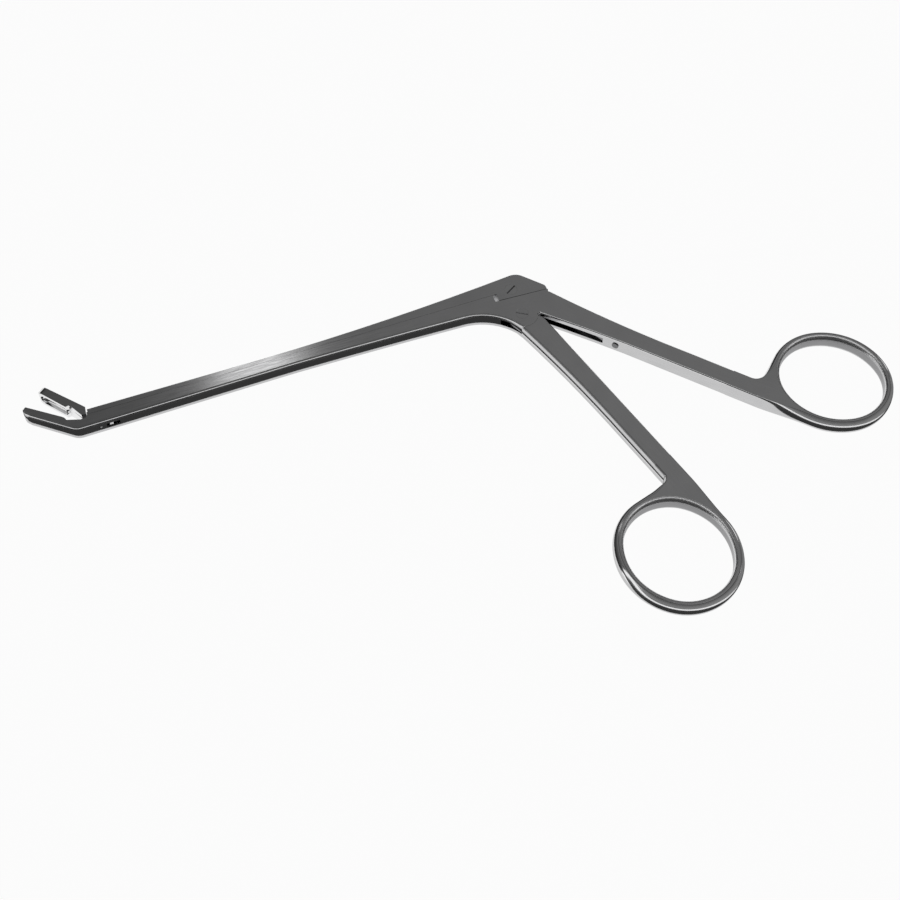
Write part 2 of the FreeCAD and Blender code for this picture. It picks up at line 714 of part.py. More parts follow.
def flush_screw(name, centre, slot_turn):
    """Screw ground flush with both sides, thinner where it passes the tang."""
    body = new_body(name)
    half = "(slot_width / 2)"
    profile = new_sketch(body, f"{name}_profile", "XZ_Plane")
    draw_outline(profile, [
        ("0", "0"),
        ("screw_diameter / 2 - running_gap / 2", "0"),
        ("screw_diameter / 2 - running_gap / 2", f"thickness / 2 - {half}"),
        ("shank_diameter / 2", f"thickness / 2 - {half}"),
        ("shank_diameter / 2", f"thickness / 2 + {half}"),
        ("screw_diameter / 2 - running_gap / 2", f"thickness / 2 + {half}"),
        ("screw_diameter / 2 - running_gap / 2", "thickness"),
        ("0", "thickness"),
    ])
    turned = body.newObject("PartDesign::Revolution", f"{name}_turned")
    turned.Profile = profile
    turned.ReferenceAxis = (profile, ["V_Axis"])
    turned.Angle = 360
    document.recompute()
    slot = new_sketch(body, f"{name}_slot", shift=("0", "0", "thickness"), turn=slot_turn)
    draw_outline(slot, [
        ("-screw_diameter", "-screw_slot_width / 2"),
        ("screw_diameter", "-screw_slot_width / 2"),
        ("screw_diameter", "screw_slot_width / 2"),
        ("-screw_diameter", "screw_slot_width / 2"),
    ])
    cut_sketch(body, slot, "screw_slot_depth")
    body.setExpression("Placement.Base.x", bound(centre[0]))
    body.setExpression("Placement.Base.y", bound(centre[1]))
    document.recompute()
    return body


def guide_key():
    """Key set in the slide, whose foot runs under the ledges of the shaft's slot."""
    body = new_body("guide_key")
    for part, low, high, width in (
        ("foot", "shaft_base + 0.35", "shaft_base + key_ledge", "key_head_width"),
        ("stem", "shaft_base + 0.5", "seam_height + slide_nose / 2", "key_stem_width"),
    ):
        sketch = new_sketch(body, f"key_{part}", shift=MIDDLE)
        draw_outline(sketch, [
            (KEY_FRONT, low),
            (f"{KEY_FRONT} + key_length", low),
            (f"{KEY_FRONT} + key_length", high),
            (KEY_FRONT, high),
        ])
        raise_sketch(body, sketch, width, middle=True)
    return body


def edge_stud(name):
    """Rod set square into the rear handle's inner edge, at the middle of the thickness."""
    body = new_body(name)
    face = "(rear_edge - stud_height)"
    sketch = new_sketch(body, f"{name}_outline", "XZ_Plane", (
        f"stud_reach * cos(rear_angle) + {face} * sin(rear_angle)", "0",
        f"stud_reach * sin(rear_angle) - {face} * cos(rear_angle)"), (0, 1, 0), "-rear_angle")
    draw_circle(sketch, ("0", "thickness / 2"), "stud_diameter")
    raise_sketch(body, sketch, "stud_height + stud_depth", backwards=True)
    return body


def check_state():
    """Stop if any object failed, or is empty or broken."""
    for item in document.Objects:
        if {"Invalid", "Error"} & set(item.State):
            raise ValueError(f"{item.Name} failed: {item.State}")


NODES = [
    fixed_shaft(),
    slide(),
    upper_jaw(),
    front_handle(),
    flush_screw("handle_screw", ("0", "0"), "-31"),
    flush_screw("drive_screw", DRIVE, "31"),
    cylinder("jaw_pin", JAW_PIVOT, "jaw_pin_diameter", "0", "thickness"),
    cylinder("jaw_drive_pin", JAW_DRIVE, "drive_pin_diameter", "0", "thickness"),
    guide_key(),
    edge_stud("edge_stud"),
]

document.recompute()
check_state()
os.makedirs("parts", exist_ok=True)
for node in NODES:
    node.Label = node.Name
    if node.Shape.isNull() or not node.Shape.isValid():
        raise ValueError(f"{node.Name} has no valid shape")
    node.Shape.exportStep(f"parts/{node.Label}.step")
    box = node.Shape.BoundBox
    print(node.Label, len(node.Shape.Solids), round(node.Shape.Volume, 2),
          [round(value, 2) for value in (box.XMin, box.XMax, box.YMin, box.YMax, box.ZMin, box.ZMax)])
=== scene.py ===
import json
import math

import bmesh
import bpy
import numpy as np
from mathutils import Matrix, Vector
from mathutils.geometry import tessellate_polygon


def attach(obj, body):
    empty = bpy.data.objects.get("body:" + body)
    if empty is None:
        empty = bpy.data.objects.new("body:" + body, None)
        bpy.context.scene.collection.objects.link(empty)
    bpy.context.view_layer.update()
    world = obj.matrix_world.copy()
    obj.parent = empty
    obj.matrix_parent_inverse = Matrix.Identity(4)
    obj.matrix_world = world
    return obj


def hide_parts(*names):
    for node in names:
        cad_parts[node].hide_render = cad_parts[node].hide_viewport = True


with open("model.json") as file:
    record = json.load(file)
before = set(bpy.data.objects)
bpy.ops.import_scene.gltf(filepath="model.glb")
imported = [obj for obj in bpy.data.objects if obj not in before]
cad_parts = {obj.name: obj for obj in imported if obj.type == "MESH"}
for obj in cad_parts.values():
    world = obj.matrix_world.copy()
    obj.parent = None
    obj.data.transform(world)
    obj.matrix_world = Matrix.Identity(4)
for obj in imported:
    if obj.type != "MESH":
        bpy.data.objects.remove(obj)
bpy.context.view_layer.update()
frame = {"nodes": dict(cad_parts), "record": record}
print("frame loaded:", len(frame["nodes"]), "nodes")

# camera, solved from the photograph's own lines (metres and degrees)
cameraView = {
    "place": (-0.11446, -0.25880, 0.38557),
    "target": (-0.03104, -0.03017, 0.0),
    "focalPixels": 1815.4,  # focal length in pixels of a picture 900 wide
    "pictureWidth": 900,
}


def makeCamera(view):
    data = bpy.data.cameras.new("photoCamera")
    data.sensor_width = 36.0
    data.lens = view["focalPixels"] / view["pictureWidth"] * data.sensor_width
    data.clip_start, data.clip_end = 0.01, 20.0
    camera = bpy.data.objects.new("photoCamera", data)
    bpy.context.scene.collection.objects.link(camera)
    camera.location = view["place"]
    aim = Vector(view["target"]) - Vector(view["place"])
    camera.rotation_euler = aim.to_track_quat("-Z", "Y").to_euler()
    bpy.context.scene.camera = camera


makeCamera(cameraView)
bpy.context.scene.view_settings.view_transform = "Standard"
print("camera set")


# helpers for node trees


def addNode(tree, kind, **values):
    node = tree.nodes.new(kind)
    for key, value in values.items():
        setattr(node, key, value)
    return node


def fill(tree, socket, value):
    if isinstance(value, bpy.types.NodeSocket):
        tree.links.new(value, socket)
    else:
        socket.default_value = value


def doMath(tree, operation, *inputs, clamp=False):
    node = addNode(tree, "ShaderNodeMath", operation=operation, use_clamp=clamp)
    for socket, value in zip(node.inputs, inputs):
        fill(tree, socket, value)
    return node.outputs[0]


def remap(tree, value, low, high, newLow, newHigh, smooth=False):
    node = addNode(tree, "ShaderNodeMapRange", clamp=True,
                   interpolation_type="SMOOTHSTEP" if smooth else "LINEAR")
    for socket, number in zip(node.inputs, (value, low, high, newLow, newHigh)):
        fill(tree, socket, number)
    return node.outputs[0]


def mixColour(tree, factor, first, second, blend="MIX"):
    node = addNode(tree, "ShaderNodeMix", data_type="RGBA", blend_type=blend)
    fill(tree, node.inputs[0], factor)
    fill(tree, node.inputs[6], first)
    fill(tree, node.inputs[7], second)
    return node.outputs[2]


def mixNumber(tree, factor, first, second):
    node = addNode(tree, "ShaderNodeMix", data_type="FLOAT")
    for socket, value in zip(node.inputs, (factor, None, first, second)):
        if value is not None:
            fill(tree, socket, value)
    return node.outputs[0]


def newGroup(name, inputs, outputs):
    group = bpy.data.node_groups.new(name, "ShaderNodeTree")
    for label, default in inputs:
        socket = group.interface.new_socket(label, in_out="INPUT", socket_type="NodeSocketFloat")
        socket.default_value = default
    for label in outputs:
        group.interface.new_socket(label, in_out="OUTPUT", socket_type="NodeSocketFloat")
    start = addNode(group, "NodeGroupInput")
    end = addNode(group, "NodeGroupOutput")
    return group, start, end


def placeGroup(tree, group, **values):
    node = addNode(tree, "ShaderNodeGroup", node_tree=group)
    for label, value in values.items():
        fill(tree, node.inputs[label], value)
    return node


# shared effects

flatLimit = 0.985  # a face lies flat where its normal has more than this along Z
wallLimit = 0.15  # and stands upright where it has less than this
crownDatum = 0.0000068  # square metres: a crown's height is nought where z over its foot squared is this


def makeBrushedGrain():
    # fine scratches drawn out along one direction: noise on coordinates stretched along it
    group, start, end = newGroup(
        "brushedGrain", [("Turn", 0.0), ("Fineness", 9000.0), ("Stretch", 40.0)], ["Grain", "Cloud"])
    coords = addNode(group, "ShaderNodeTexCoord")
    turned = addNode(group, "ShaderNodeVectorRotate", rotation_type="Z_AXIS")
    group.links.new(coords.outputs["Object"], turned.inputs["Vector"])
    group.links.new(start.outputs["Turn"], turned.inputs["Angle"])
    parts = addNode(group, "ShaderNodeSeparateXYZ")
    group.links.new(turned.outputs[0], parts.inputs[0])
    along = doMath(group, "DIVIDE", doMath(group, "MULTIPLY", parts.outputs[0], start.outputs["Fineness"]),
                   start.outputs["Stretch"])
    across = doMath(group, "MULTIPLY", parts.outputs[1], start.outputs["Fineness"])
    upwards = doMath(group, "MULTIPLY", parts.outputs[2], start.outputs["Fineness"])
    lines = addNode(group, "ShaderNodeCombineXYZ")
    for socket, value in zip(lines.inputs, (along, across, upwards)):
        group.links.new(value, socket)
    fine = addNode(group, "ShaderNodeTexNoise", noise_dimensions="3D")
    group.links.new(lines.outputs[0], fine.inputs["Vector"])
    fine.inputs["Scale"].default_value = 1.0
    fine.inputs["Detail"].default_value = 3.0
    cloud = addNode(group, "ShaderNodeTexNoise", noise_dimensions="3D")
    group.links.new(coords.outputs["Object"], cloud.inputs["Vector"])
    cloud.inputs["Scale"].default_value = 160.0
    cloud.inputs["Detail"].default_value = 3.0
    group.links.new(fine.outputs[0], end.inputs["Grain"])
    group.links.new(cloud.outputs[0], end.inputs["Cloud"])
    return group


def makeSideMask():
    # Wall is 1 on walls that stand upright, Bevel is 1 on the edges between them and the flat sides
    group, start, end = newGroup("sideMask", [("Low", 0.35), ("High", 0.75)], ["Wall", "Bevel"])
    geometry = addNode(group, "ShaderNodeNewGeometry")
    parts = addNode(group, "ShaderNodeSeparateXYZ")
    group.links.new(geometry.outputs["True Normal"], parts.inputs[0])
    flat = doMath(group, "ABSOLUTE", parts.outputs[2])
    wall = remap(group, flat, start.outputs["Low"], start.outputs["High"], 1.0, 0.0)
    group.links.new(wall, end.inputs["Wall"])
    rising = remap(group, flat, 0.1, 0.4, 0.0, 1.0)
    falling = remap(group, flat, 0.9, 0.99, 1.0, 0.0)
    group.links.new(doMath(group, "MULTIPLY", rising, falling), end.inputs["Bevel"])
    return group


def makeCrownHeight():
    # height of a wall ground round: Roundness times what the square of z over its foot falls short of
    # crownDatum, where the mesh's own number "crown" says that the wall is round
    group, start, end = newGroup("crownHeight", [("Roundness", 245.0), ("Foot", 0.0003)], ["Height"])
    geometry = addNode(group, "ShaderNodeNewGeometry")
    facing = addNode(group, "ShaderNodeSeparateXYZ")
    group.links.new(geometry.outputs["True Normal"], facing.inputs[0])
    level = doMath(group, "ABSOLUTE", facing.outputs[2])
    onWall = doMath(group, "LESS_THAN", level, flatLimit)
    crown = addNode(group, "ShaderNodeAttribute", attribute_name="crown")
    coords = addNode(group, "ShaderNodeTexCoord")
    parts = addNode(group, "ShaderNodeSeparateXYZ")
    group.links.new(coords.outputs["Object"], parts.inputs[0])
    rise = doMath(group, "SUBTRACT", parts.outputs[2], start.outputs["Foot"])
    square = doMath(group, "SUBTRACT", crownDatum, doMath(group, "MULTIPLY", rise, rise))
    bow = doMath(group, "MULTIPLY", square, start.outputs["Roundness"])
    height = doMath(group, "MULTIPLY", bow, doMath(group, "MULTIPLY", crown.outputs["Fac"], onWall))
    group.links.new(height, end.inputs["Height"])
    return group


brushedGrain = makeBrushedGrain()
sideMask = makeSideMask()
crownHeight = makeCrownHeight()


def makeSteel(name, look):
    # ground stainless steel: satin flat sides, smoother walls, and edges painted lighter as a painted
    # highlight
    material = bpy.data.materials.new(name)
    material.use_nodes = True
    tree = material.node_tree
    tree.nodes.clear()
    shader = addNode(tree, "ShaderNodeBsdfPrincipled")
    output = addNode(tree, "ShaderNodeOutputMaterial")
    tree.links.new(shader.outputs[0], output.inputs[0])
    turn = math.radians(look["turn"])
    if "handleTurn" in look:  # the grinding turns from the shaft's direction to the handle's past the screw
        coords = addNode(tree, "ShaderNodeTexCoord")
        parts = addNode(tree, "ShaderNodeSeparateXYZ")
        tree.links.new(coords.outputs["Object"], parts.inputs[0])
        turn = remap(tree, parts.outputs[0], look["turnFrom"], look["turnTo"], turn,
                     math.radians(look["handleTurn"]), smooth=True)
    grain = placeGroup(tree, brushedGrain, Turn=turn, Fineness=look["fineness"], Stretch=look["stretch"])
    sides = placeGroup(tree, sideMask)
    wall = sides.outputs["Wall"]
    tone = mixColour(tree, wall, look["flatColour"], look["wallColour"])
    # painted highlight: the bevels take a lighter colour than the flat sides and walls
    tone = mixColour(tree, sides.outputs["Bevel"], tone, look["edgeHighlightColour"])
    streaks = remap(tree, grain.outputs["Grain"], 0.3, 0.7, 1.0 - look["streaks"], 1.0 + look["streaks"])
    clouds = remap(tree, grain.outputs["Cloud"], 0.3, 0.7, 1.0 - look["clouds"], 1.0 + look["clouds"])
    shade = doMath(tree, "MULTIPLY", streaks, clouds)
    fill(tree, shader.inputs["Base Color"], mixColour(tree, 1.0, tone, shade, "MULTIPLY"))
    shader.inputs["Metallic"].default_value = 1.0
    flatRough = remap(tree, grain.outputs["Grain"], 0.25, 0.75, look["flatRoughness"] - look["smoother"],
                      look["flatRoughness"] + look["rougher"])
    rough = mixNumber(tree, wall, flatRough, look["wallRoughness"])
    fill(tree, shader.inputs["Roughness"], rough)
    crown = placeGroup(tree, crownHeight, Roundness=look["roundness"], Foot=look["foot"])
    scratch = doMath(tree, "MULTIPLY", grain.outputs["Grain"], look["scratchDepth"])
    bump = addNode(tree, "ShaderNodeBump")
    bump.inputs["Strength"].default_value = 1.0
    bump.inputs["Distance"].default_value = 1.0
    fill(tree, bump.inputs["Height"], doMath(tree, "ADD", crown.outputs["Height"], scratch))
    fill(tree, shader.inputs["Normal"], bump.outputs[0])
    return material


# one finish for each kind of steel, and what differs on each piece

satinSteel = {
    "flatColour": (0.56, 0.56, 0.565, 1.0),
    "wallColour": (0.55, 0.55, 0.555, 1.0),
    # lighter colour on the bevels: a painted highlight along the edges
    "edgeHighlightColour": (0.78, 0.78, 0.785, 1.0),
    "flatRoughness": 0.12,
    "smoother": 0.04,  # how far the scratches take the flat sides' roughness down and up
    "rougher": 0.05,
    "wallRoughness": 0.14,
    "turn": 0.0,  # direction of the grinding about Z, in degrees
    "fineness": 7000.0,
    "stretch": 30.0,
    "streaks": 0.04,
    "clouds": 0.03,
    "scratchDepth": 0.0000003,  # metres
    "roundness": 245.0,  # of the crowned walls, per metre
    "foot": 0.0003,
}

finishes = {
    "fixed_shaft": {"slot": "shaft_steel", "handleTurn": 47.0, "turnFrom": 0.002, "turnTo": 0.014},
    "slide": {"slot": "slide_steel", "flatColour": (0.55, 0.55, 0.555, 1.0)},
    # the jaw's walls are painted much lighter than the other steel: a painted reflection
    "upper_jaw": {"slot": "jaw_steel", "turn": 38.0, "wallRoughness": 0.10,
                  "wallColour": (0.82, 0.82, 0.825, 1.0)},
    "front_handle": {"slot": "handle_steel", "turn": 74.5},
    # the screw's walls, those of its slot too, are painted near white: painted light in the slot
    "handle_screw": {"slot": "screw_steel", "turn": 20.0, "wallColour": (0.92, 0.92, 0.925, 1.0)},
    # the drive screw's walls are painted near black so that its slot reads dark: painted shade
    "drive_screw": {"slot": "screw_steel", "turn": -30.0, "wallColour": (0.12, 0.12, 0.125, 1.0)},
    "jaw_pin": {"slot": "pin_steel"},
    "jaw_drive_pin": {"slot": "pin_steel"},
    "guide_key": {"slot": "pin_steel", "turn": 90.0},
    # the stud is painted dark all over: painted shade and dark reflection where it sits
    "edge_stud": {"slot": "pin_steel", "turn": 47.0, "flatColour": (0.16, 0.16, 0.165, 1.0),
                  "wallColour": (0.16, 0.16, 0.165, 1.0), "edgeHighlightColour": (0.16, 0.16, 0.165, 1.0)},
}

# the walls of the rings' openings, rougher and darker as painted shade, and the slots with what turns in
# them, darker as painted shade
openingShadeSteel = {"wallRoughness": 0.32, "flatRoughness": 0.32, "wallColour": (0.3, 0.3, 0.305, 1.0)}
slotShadeSteel = {"wallColour": (0.22, 0.22, 0.225, 1.0), "flatColour": (0.22, 0.22, 0.225, 1.0)}

steels, openingShadeSteels, slotShadeSteels = {}, {}, {}
for nodeName, own in finishes.items():
    steels[nodeName] = makeSteel(nodeName + "Steel", {**satinSteel, **own})
    if nodeName in ("fixed_shaft", "front_handle"):
        openingShadeSteels[nodeName] = makeSteel(nodeName + "OpeningShade", {**satinSteel, **own, **openingShadeSteel})
    if nodeName in ("fixed_shaft", "front_handle", "slide"):
        slotShadeSteels[nodeName] = makeSteel(nodeName + "SlotShade", {**satinSteel, **own, **slotShadeSteel})
print("steel finishes made")

# the flat stock, in millimetres and degrees

stock = {
    "thickness": 4.9,
    "bevel": 0.4,  # of the edges in the CAD nodes
    "bladeWidth": 5.0,
    "cut": 56.0,  # how far along the handle the modelled ring takes over from the blade
    "flankRise": 0.7,
    "stretch": 1.4,
    "edgeAcross": 0.4,  # rounding of the blade's edges
    "ringAcross": 1.4,  # rounding of the ring's outside, across and through the thickness
    "ringThrough": 2.3,
    "openingAcross": 0.98,
    "openingThrough": 1.7,
    "profileSteps": 9,
    "lineCount": 30,  # points on the ring's back edge, its oval, its fork and the blade
    "ovalCount": 140,
    "forkCount": 12,
    "bladeCount": 8,
    "openingStep": 2.5,
    "backLead": 8.0,  # the ring's rounding starts this far past the cut and is full this far from its centre
    "backEnd": 1.0,
    "forkLead": 4.0,  # and on the other side it is full this far past the fork
    "ringCrown": 0.8,  # how far the wall's roundness holds on the ring and in its opening
    "openingCrown": 0.2,
    "crownSide": (0.25, -0.97),  # level direction that the roundest stretches face
    "crownLeast": 0.25,  # share of the roundness that is left on the others
    "fadeFrom": -0.2,
    "fadeTo": 0.5,
}

# where each finger ring lies on its handle

rings = {
    "rearRing": {
        "node": "fixed_shaft", "angle": 47.0, "edge": 3.35, "side": 1.0, "reach": 79.1,
        "radius": 11.35, "band": 2.4, "fork": 2.5, "bladeCrown": 0.0,
    },
    "frontRing": {
        "node": "front_handle", "angle": 74.5, "edge": -3.98, "side": -1.0, "reach": 78.0,
        "radius": 11.95, "band": 2.6, "fork": 1.6, "bladeCrown": 1.0,
    },
}


def smoothStep(low, high, value):
    share = np.clip((value - low) / (high - low), 0.0, 1.0)
    return share * share * (3.0 - 2.0 * share)


def ovalPoints(radius, turns):
    # two end arcs and two flatter flanks that join smoothly; turns is the outward direction in radians
    shift = stock["flankRise"] + stock["stretch"]
    between = (shift ** 2 + stock["flankRise"] ** 2) / (2 * stock["flankRise"])
    normal = np.stack([np.cos(turns), np.sin(turns)], axis=1)
    onEnd = np.abs(normal[:, 0]) > shift / between
    endPoint = normal * radius + np.stack([np.sign(normal[:, 0]) * shift, np.zeros(len(turns))], axis=1)
    flankPoint = normal * (between + radius)
    flankPoint[:, 1] -= np.sign(normal[:, 1]) * (between - stock["flankRise"])
    return np.where(onEnd[:, None], endPoint, flankPoint), normal


def ringOutline(look):
    # outer outline from the back edge at the cut, round the ring, to the blade's edge at the cut:
    # line, oval, line, quarter fork arc, line; each point with its outward normal and its rounding
    outer = look["radius"] + look["band"]
    halfWide = outer + stock["flankRise"]
    nearEnd = look["reach"] - outer - stock["flankRise"] - stock["stretch"]
    fork = look["fork"]
    width = stock["bladeWidth"]
    line = np.linspace(stock["cut"], look["reach"], stock["lineCount"])[:-1]
    pieces = [(np.stack([line, np.zeros(len(line))], axis=1), np.tile([0.0, -1.0], (len(line), 1)))]
    oval, ovalNormal = ovalPoints(outer, np.radians(np.linspace(-90, 180, stock["ovalCount"])))
    pieces.append((oval + [look["reach"], halfWide], ovalNormal))
    drop = np.linspace(halfWide, width + fork, stock["forkCount"])[1:-1]
    fall = np.stack([np.full(len(drop), nearEnd), drop], axis=1)
    pieces.append((fall, np.tile([-1.0, 0.0], (len(drop), 1))))
    turns = np.radians(np.linspace(0, -90, stock["forkCount"]))
    arc = np.stack([np.cos(turns), np.sin(turns)], axis=1)
    pieces.append((arc * fork + [nearEnd - fork, width + fork], -arc))
    back = np.linspace(nearEnd - fork, stock["cut"], stock["bladeCount"])[1:]
    pieces.append((np.stack([back, np.full(len(back), width)], axis=1), np.tile([0.0, 1.0], (len(back), 1))))
    points = np.concatenate([piece[0] for piece in pieces])
    normals = np.concatenate([piece[1] for piece in pieces])
    stretch = np.repeat(np.arange(len(pieces)), [len(piece[0]) for piece in pieces])
    onBack = smoothStep(stock["cut"] + stock["backLead"], look["reach"] - stock["backEnd"], points[:, 0])
    onBlade = smoothStep(width, width + fork + stock["forkLead"], points[:, 1])
    share = np.select([stretch == 0, stretch == 1], [onBack, 1.0], onBlade)
    blade = np.where(stretch > 1, look["bladeCrown"], 0.0)
    return points, normals, share, blade + (stock["ringCrown"] - blade) * share


def roundedWall(points, normals, across, through):
    # wall on an outline: at each step the profile goes in by across * (1 - sin) at the height
    # through * (1 - cos), and the same from the top; rows are outline points, columns the profile
    bend = np.linspace(0, np.pi / 2, stock["profileSteps"])
    inset = 1 - np.sin(bend)
    height = 1 - np.cos(bend)
    low = through[:, None] * height
    inward = across[:, None] * inset
    heights = np.concatenate([low, stock["thickness"] - low[:, ::-1]], axis=1)
    inward = np.concatenate([inward, inward[:, ::-1]], axis=1)
    flat = points[:, None, :] - normals[:, None, :] * inward[:, :, None]
    return np.concatenate([flat, heights[:, :, None]], axis=2)


def gridFaces(rows, columns, start, closed=False):
    row = np.arange(rows if closed else rows - 1)[:, None]
    column = np.arange(columns - 1)[None, :]
    here, there = row * columns + column, (row + 1) % rows * columns + column
    return (start + np.stack([here, there, there + 1, here + 1], axis=-1)).reshape(-1, 4).tolist()


def makeRing(name, look):
    # solid ring: outer wall, wall of the opening, two flat sides between them and the face at the cut
    points, normals, share, crown = ringOutline(look)
    across = stock["edgeAcross"] + (stock["ringAcross"] - stock["edgeAcross"]) * share
    through = stock["edgeAcross"] + (stock["ringThrough"] - stock["edgeAcross"]) * share
    outside = roundedWall(points, normals, across, through)
    turns = np.radians(np.arange(0, 360, stock["openingStep"]))
    hole, holeNormal = ovalPoints(look["radius"], turns)
    hole = hole + [look["reach"], look["radius"] + look["band"] + stock["flankRise"]]
    ones = np.ones(len(hole))
    inside = roundedWall(hole, -holeNormal, ones * stock["openingAcross"], ones * stock["openingThrough"])
    columns = outside.shape[1]
    shapes = np.concatenate([outside.reshape(-1, 3), inside.reshape(-1, 3)])
    first = len(outside) * columns
    faces = gridFaces(len(outside), columns, 0)
    openingFaces = slice(len(faces), len(faces) + len(inside) * (columns - 1))
    faces += gridFaces(len(inside), columns, first, closed=True)
    outerRows, innerRows = np.arange(len(outside)) * columns, first + np.arange(len(inside)) * columns
    for column in (0, columns - 1):
        loops = [outerRows + column, innerRows + column]
        order = np.concatenate(loops)
        sheet = tessellate_polygon([[Vector((*shapes[index][:2], 0)) for index in loop] for loop in loops])
        faces += [[int(order[corner]) for corner in corners] for corners in sheet]
    lastRow = (len(outside) - 1) * columns
    faces.append(list(range(columns)) + list(range(lastRow + columns - 1, lastRow - 1, -1)))
    # from the handle's own lines to the frame's millimetres, then metres
    angle = math.radians(look["angle"])
    along, width = shapes[:, 0], look["side"] * (look["edge"] + shapes[:, 1])
    place = np.stack([along * math.cos(angle) + width * math.sin(angle),
                      -along * math.sin(angle) + width * math.cos(angle), shapes[:, 2]], axis=1) / 1000
    mesh = bpy.data.meshes.new(name)
    mesh.from_pydata(place.tolist(), [], faces)
    # the opening's wall takes the second slot: the rougher steel with painted shade
    slots = np.zeros(len(faces), dtype=np.int32)
    slots[openingFaces] = 1
    mesh.polygons.foreach_set("material_index", slots)
    turnOutwards(mesh)
    # the roundness fades on the stretches that face another way than crownSide
    level = np.concatenate([normals, -holeNormal])
    side = look["side"] * level[:, 1]
    faced = np.stack([level[:, 0] * math.cos(angle) + side * math.sin(angle),
                      -level[:, 0] * math.sin(angle) + side * math.cos(angle)], axis=1) @ stock["crownSide"]
    least = stock["crownLeast"]
    fade = least + (1 - least) * smoothStep(stock["fadeFrom"], stock["fadeTo"], faced)
    fade[:len(crown)] = np.where(share > 0, fade[:len(crown)], 1.0)
    onWall = np.repeat(np.concatenate([crown, np.full(len(inside), stock["openingCrown"])]) * fade, columns)
    mesh.attributes.new("crown", "FLOAT", "POINT").data.foreach_set("value", onWall.astype(np.float32))
    return mesh


def turnOutwards(mesh):
    work = bmesh.new()
    work.from_mesh(mesh)
    bmesh.ops.recalc_face_normals(work, faces=work.faces)
    work.to_mesh(mesh)
    work.free()


def settleNormals(mesh):
    # flat sides keep their own direction, walls share theirs where they turn softly, and a bevel goes
    # from the flat side's direction at one edge to the wall's at the other
    work = bmesh.new()
    work.from_mesh(mesh)
    kinds = {}
    for face in work.faces:
        level = abs(face.normal.z)
        kinds[face] = "flat" if level > flatLimit else "wall" if level < wallLimit else "slope"
    # the kinds of face around a corner whose direction it takes, the first that has one, and how close to
    # the face's own direction they must be
    order = {"flat": (), "wall": (("wall", 0.8),), "slope": (("flat", 0.3), ("wall", 0.3), ("slope", 0.8))}

    def blended(corner, face, kind, closeness):
        near = [loop for loop in corner.vert.link_loops
                if kinds[loop.face] == kind and loop.face.normal.dot(face.normal) > closeness]
        return sum((loop.face.normal * loop.calc_angle() for loop in near), Vector())

    directions = []
    for face in work.faces:
        for corner in face.loops:
            direction = face.normal
            for kind, closeness in order[kinds[face]]:
                blend = blended(corner, face, kind, closeness)
                if blend.length > 0.0001:
                    direction = blend.normalized()
                    break
            directions.append(tuple(direction))
    work.free()
    mesh.normals_split_custom_set(directions)


def addPiece(name, mesh, node):
    piece = bpy.data.objects.new(name, mesh)
    bpy.context.scene.collection.objects.link(piece)
    slots = np.zeros(len(mesh.polygons), dtype=np.int32)
    mesh.polygons.foreach_get("material_index", slots)
    mesh.materials.clear()
    mesh.materials.append(steels[node])
    if slots.any():
        # second slot: the steel with painted shade, for a ring's opening or for the slots
        mesh.materials.append((openingShadeSteels if name in rings else slotShadeSteels)[node])
    mesh.polygons.foreach_set("material_index", slots)
    mesh.shade_smooth()
    settleNormals(mesh)
    body = next(key for key, members in frame["record"]["behaviour"]["bodies"].items() if node in members)
    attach(piece, body)
    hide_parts(node)


# the joint at the handle screw, in millimetres from the screw's axis

joint = {
    "arcSlotShade": 4.15,  # the arc between shaft and front handle lies between these radii
    "arcOuter": 4.3,
    "arcStart": -1.6,  # x of its end towards the jaws
    "slotHalf": 1.01,  # half the width of the slots, with a little room
    "slotReach": 22.0,  # the saw slot's far end
}


def mergedMesh(node, cutAngle=None):
    # copy of a CAD node with its corners merged, without what lies past the cut across a handle
    middle = stock["thickness"] / 2
    work = bmesh.new()
    work.from_mesh(frame["nodes"][node].data)
    bmesh.ops.remove_doubles(work, verts=work.verts, dist=0.000001)
    if cutAngle is not None:
        angle = math.radians(cutAngle)
        across = Vector((math.cos(angle), -math.sin(angle), 0))
        cut = bmesh.ops.bisect_plane(
            work, geom=work.verts[:] + work.edges[:] + work.faces[:], dist=0.0000001,
            plane_co=across * stock["cut"] / 1000, plane_no=across, clear_outer=True)
        rim = [item for item in cut["geom_cut"] if isinstance(item, bmesh.types.BMEdge)]
        bmesh.ops.edgeloop_fill(work, edges=rim)
        # shaft and front handle are ground level, so the arc between them has no bevel
        for corner in work.verts:
            place = corner.co * 1000
            onRadius = joint["arcSlotShade"] < place.xy.length < joint["arcOuter"]
            onBevel = abs(abs(place.z - middle) - middle + stock["bevel"]) < 0.02
            if onRadius and onBevel and place.x > joint["arcStart"] and place.y < 0:
                corner.co.z = stock["thickness"] / 1000 if place.z > middle else 0.0
    # faces inside the saw slots near the joint take the second slot's darker steel: painted shade in the
    # slots
    if node in slotShadeSteels:
        for face in work.faces:
            depth = max(abs(corner.co.z * 1000 - middle) for corner in face.verts)
            reach = face.calc_center_median().xy.length * 1000
            face.material_index = int(depth < joint["slotHalf"] and reach < joint["slotReach"])
    mesh = bpy.data.meshes.new(node + "Merged")
    work.to_mesh(mesh)
    work.free()
    return mesh


